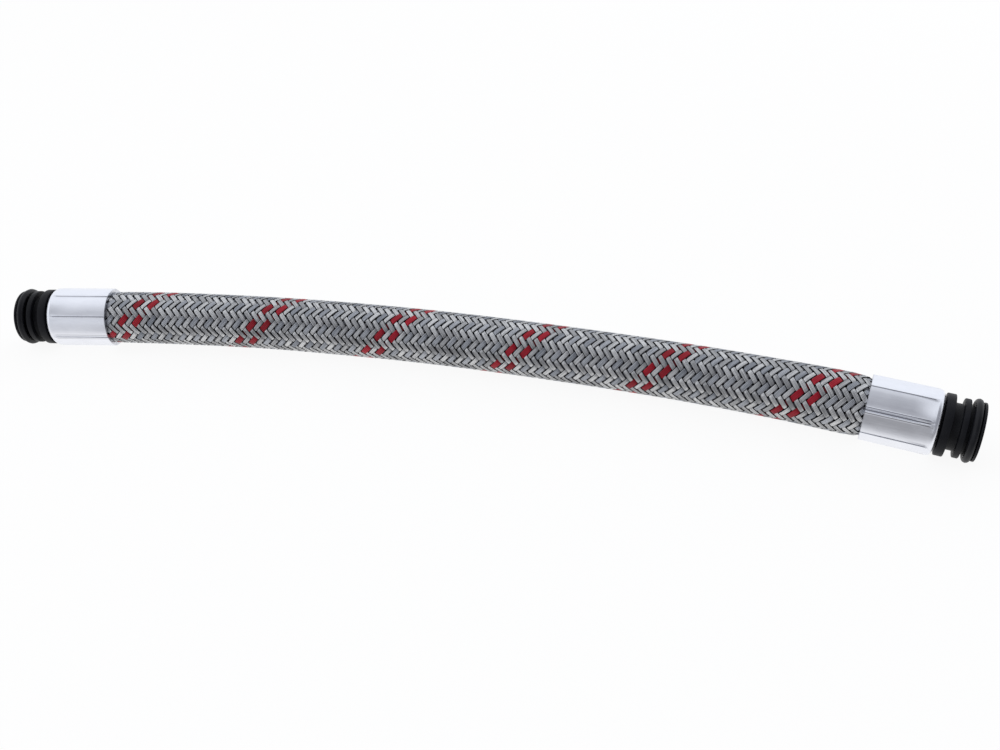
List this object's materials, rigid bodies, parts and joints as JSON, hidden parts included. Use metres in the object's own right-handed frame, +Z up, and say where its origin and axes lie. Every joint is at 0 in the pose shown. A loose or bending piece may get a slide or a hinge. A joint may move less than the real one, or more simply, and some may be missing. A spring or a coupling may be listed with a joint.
{
  "type": "flexible pipe",
  "caption": "Short braided flexible pipe that carries water between two push-in spigots, each crimped on with a faceted ferrule and sealed by an O-ring.",
  "frame": {"origin": "middle of the two end fittings, on the surface that the pipe lies on", "axes": "+X from the left end to the right end along the chord, +Y towards the side that the pipe bows to, +Z up"},
  "size_m": [0.3094, 0.0355, 0.0187],
  "materials": {
    "braided_wire": "woven flat bundles of fine wire, light and dull grey",
    "red_tracer": "two red coloured wire bundles in the weave",
    "black_rubber": "matt moulded rubber",
    "ferrule_aluminium": "satin drawn aluminium with crimp lines",
    "black_plastic": "matt moulded plastic",
    "ring_rubber": "smooth rubber with a slight sheen"
  },
  "bodies": {
    "root": {"braid_sleeve": "braided_wire", "inner_hose": "black_rubber", "left_ferrule": "ferrule_aluminium", "right_ferrule": "ferrule_aluminium", "left_spigot": "black_plastic", "right_spigot": "black_plastic", "left_o_ring": "ring_rubber", "right_o_ring": "ring_rubber"}
  },
  "joints": []
}
